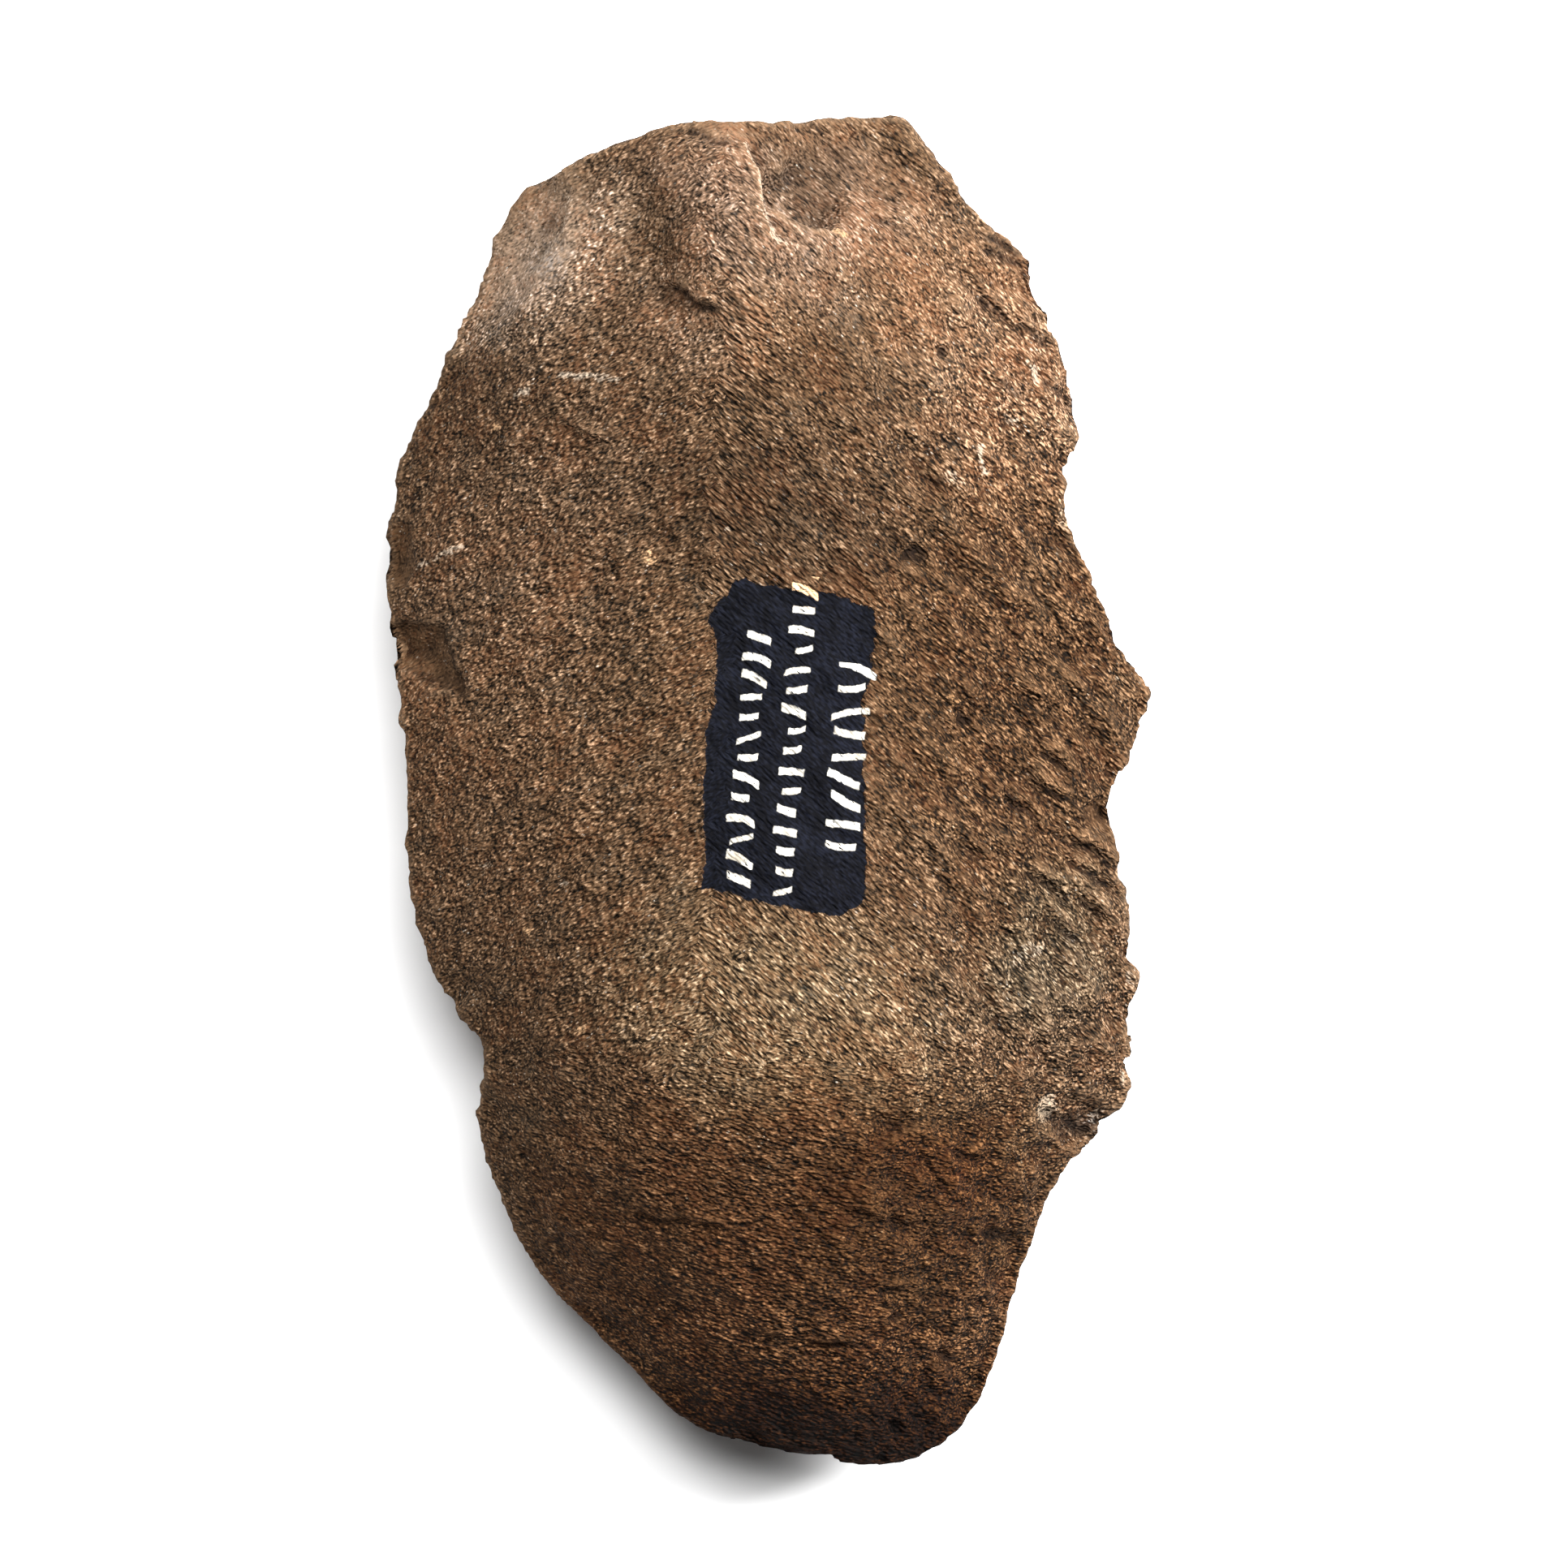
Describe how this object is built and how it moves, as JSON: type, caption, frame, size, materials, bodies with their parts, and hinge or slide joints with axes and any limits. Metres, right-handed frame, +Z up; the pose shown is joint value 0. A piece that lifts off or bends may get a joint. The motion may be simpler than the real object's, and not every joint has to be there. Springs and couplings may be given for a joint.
{
  "type": "stone scraper",
  "caption": "Large struck stone flake scraper with a domed bulb face, a flake-scarred back, retouched side edges and a tapering tip.",
  "frame": {"origin": "on the floor, under the middle of the stone's length and width", "axes": "+Z up out of the bulb face, +Y along the length towards the struck butt, +X towards the notched edge"},
  "size_m": [0.0818, 0.1448, 0.0342],
  "materials": {
    "brown_stone": "matt, granular, weathered brown stone"
  },
  "bodies": {
    "root": {"stone_scraper": "brown_stone"}
  },
  "joints": []
}
